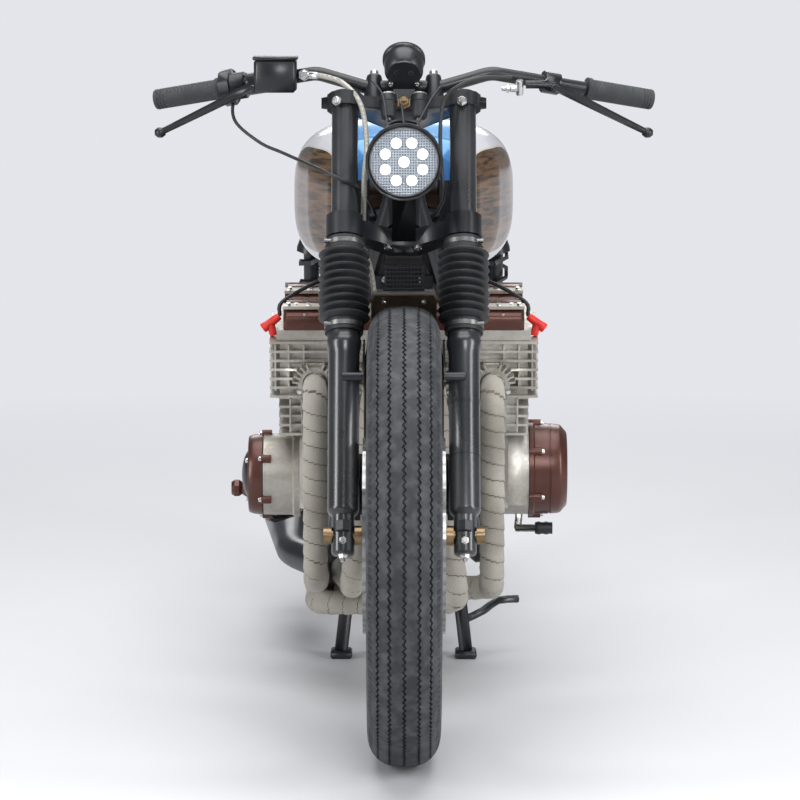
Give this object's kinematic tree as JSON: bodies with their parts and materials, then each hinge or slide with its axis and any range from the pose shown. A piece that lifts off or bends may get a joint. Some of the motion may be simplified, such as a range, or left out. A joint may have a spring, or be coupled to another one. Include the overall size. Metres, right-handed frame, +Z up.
{
  "type": "brat style motorcycle",
  "caption": "Stripped retro motorcycle on its centre stand: wire wheels, gaitered fork, finned transverse engine, wrapped headers, short megaphone, rounded tank and long flat seat.",
  "frame": {"origin": "on the floor, below the middle of the machine: centre of the bounding box in X and Y, lowest point in Z", "axes": "+Z up, -Y forward (towards the front wheel), +X towards the rider's left"},
  "size_m": [0.789, 2.0964, 1.0577],
  "materials": {
    "filter_black": "satin black",
    "brown_covers": "metallic chocolate brown paint on cast alloy",
    "box_black": "satin black",
    "satin_black": "satin black paint",
    "cast_alloy": "warm grey cast surface",
    "steel": "bright",
    "header_wrap": "woven heat wrap over steel pipe",
    "fork_black": "satin blue-black paint",
    "bronze": "satin",
    "tyre": "matt, slightly dusty",
    "tank_paint": "gloss pearl with dark brown side panels",
    "rubber": "matt",
    "lamp_glass": "clear",
    "red_rubber": "satin",
    "seat_cover": "grained brown",
    "red_lens": "gloss red"
  },
  "bodies": {
    "chassis": {"air_filter_left": "filter_black", "air_filter_right": "filter_black", "alternator_cover": "brown_covers", "battery_box": "box_black", "brake_pedal": "satin_black", "cam_cover": "brown_covers", "carburettors": "cast_alloy", "chain": "steel", "clutch_cover": "cast_alloy", "crankcase": "cast_alloy", "cylinder_block": "cast_alloy", "cylinder_head": "cast_alloy", "exhaust_headers": "header_wrap", "filler_cap": "steel", "foot_peg_left": "brown_covers", "foot_peg_right": "brown_covers", "frame": "satin_black", "fuel_tank": "tank_paint", "ignition_cap": "brown_covers", "ignition_housing": "cast_alloy", "ignition_leads_left": "red_rubber", "ignition_leads_right": "red_rubber", "muffler": "satin_black", "rear_fender": "satin_black", "regulator": "satin_black", "seat": "seat_cover", "shift_lever": "steel", "shock_left": "satin_black", "shock_right": "satin_black", "sprocket_cover": "cast_alloy", "swingarm": "satin_black", "tail_lamp": "red_lens"},
    "steering": {"brake_lever": "satin_black", "caliper_left": "satin_black", "caliper_right": "satin_black", "clutch_lever": "satin_black", "fork_leg_left": "fork_black", "fork_leg_right": "fork_black", "front_axle": "bronze", "front_fender": "satin_black", "gaiter_left": "rubber", "gaiter_right": "rubber", "grip_left": "rubber", "grip_right": "rubber", "handlebar": "satin_black", "headlight_lens": "lamp_glass", "headlight_shell": "satin_black", "lower_yoke": "satin_black", "speedometer": "satin_black", "throttle_housing": "satin_black", "upper_yoke": "satin_black"},
    "front_wheel": {"front_tyre": "tyre", "front_wheel": "cast_alloy"},
    "rear_wheel": {"rear_tyre": "tyre", "rear_wheel": "cast_alloy"},
    "centre_stand": {"centre_stand": "satin_black"}
  },
  "joints": [
    {"name": "steer", "type": "hinge", "parent": "chassis", "child": "steering", "pos_m": [0, -0.39052, 0.83216], "axis": [0, 0.454, 0.891], "range_deg": [-35, 35]},
    {"name": "front_wheel_spin", "type": "hinge", "parent": "steering", "child": "front_wheel", "pos_m": [0, -0.70675, 0.3415], "axis": [1, 0, 0], "continuous": true},
    {"name": "rear_wheel_spin", "type": "hinge", "parent": "chassis", "child": "rear_wheel", "pos_m": [0, 0.71325, 0.353], "axis": [1, 0, 0], "continuous": true},
    {"name": "stand_fold", "type": "hinge", "parent": "chassis", "child": "centre_stand", "pos_m": [0, 0.12825, 0.208], "axis": [1, 0, 0], "range_deg": [0, 75]}
  ]
}
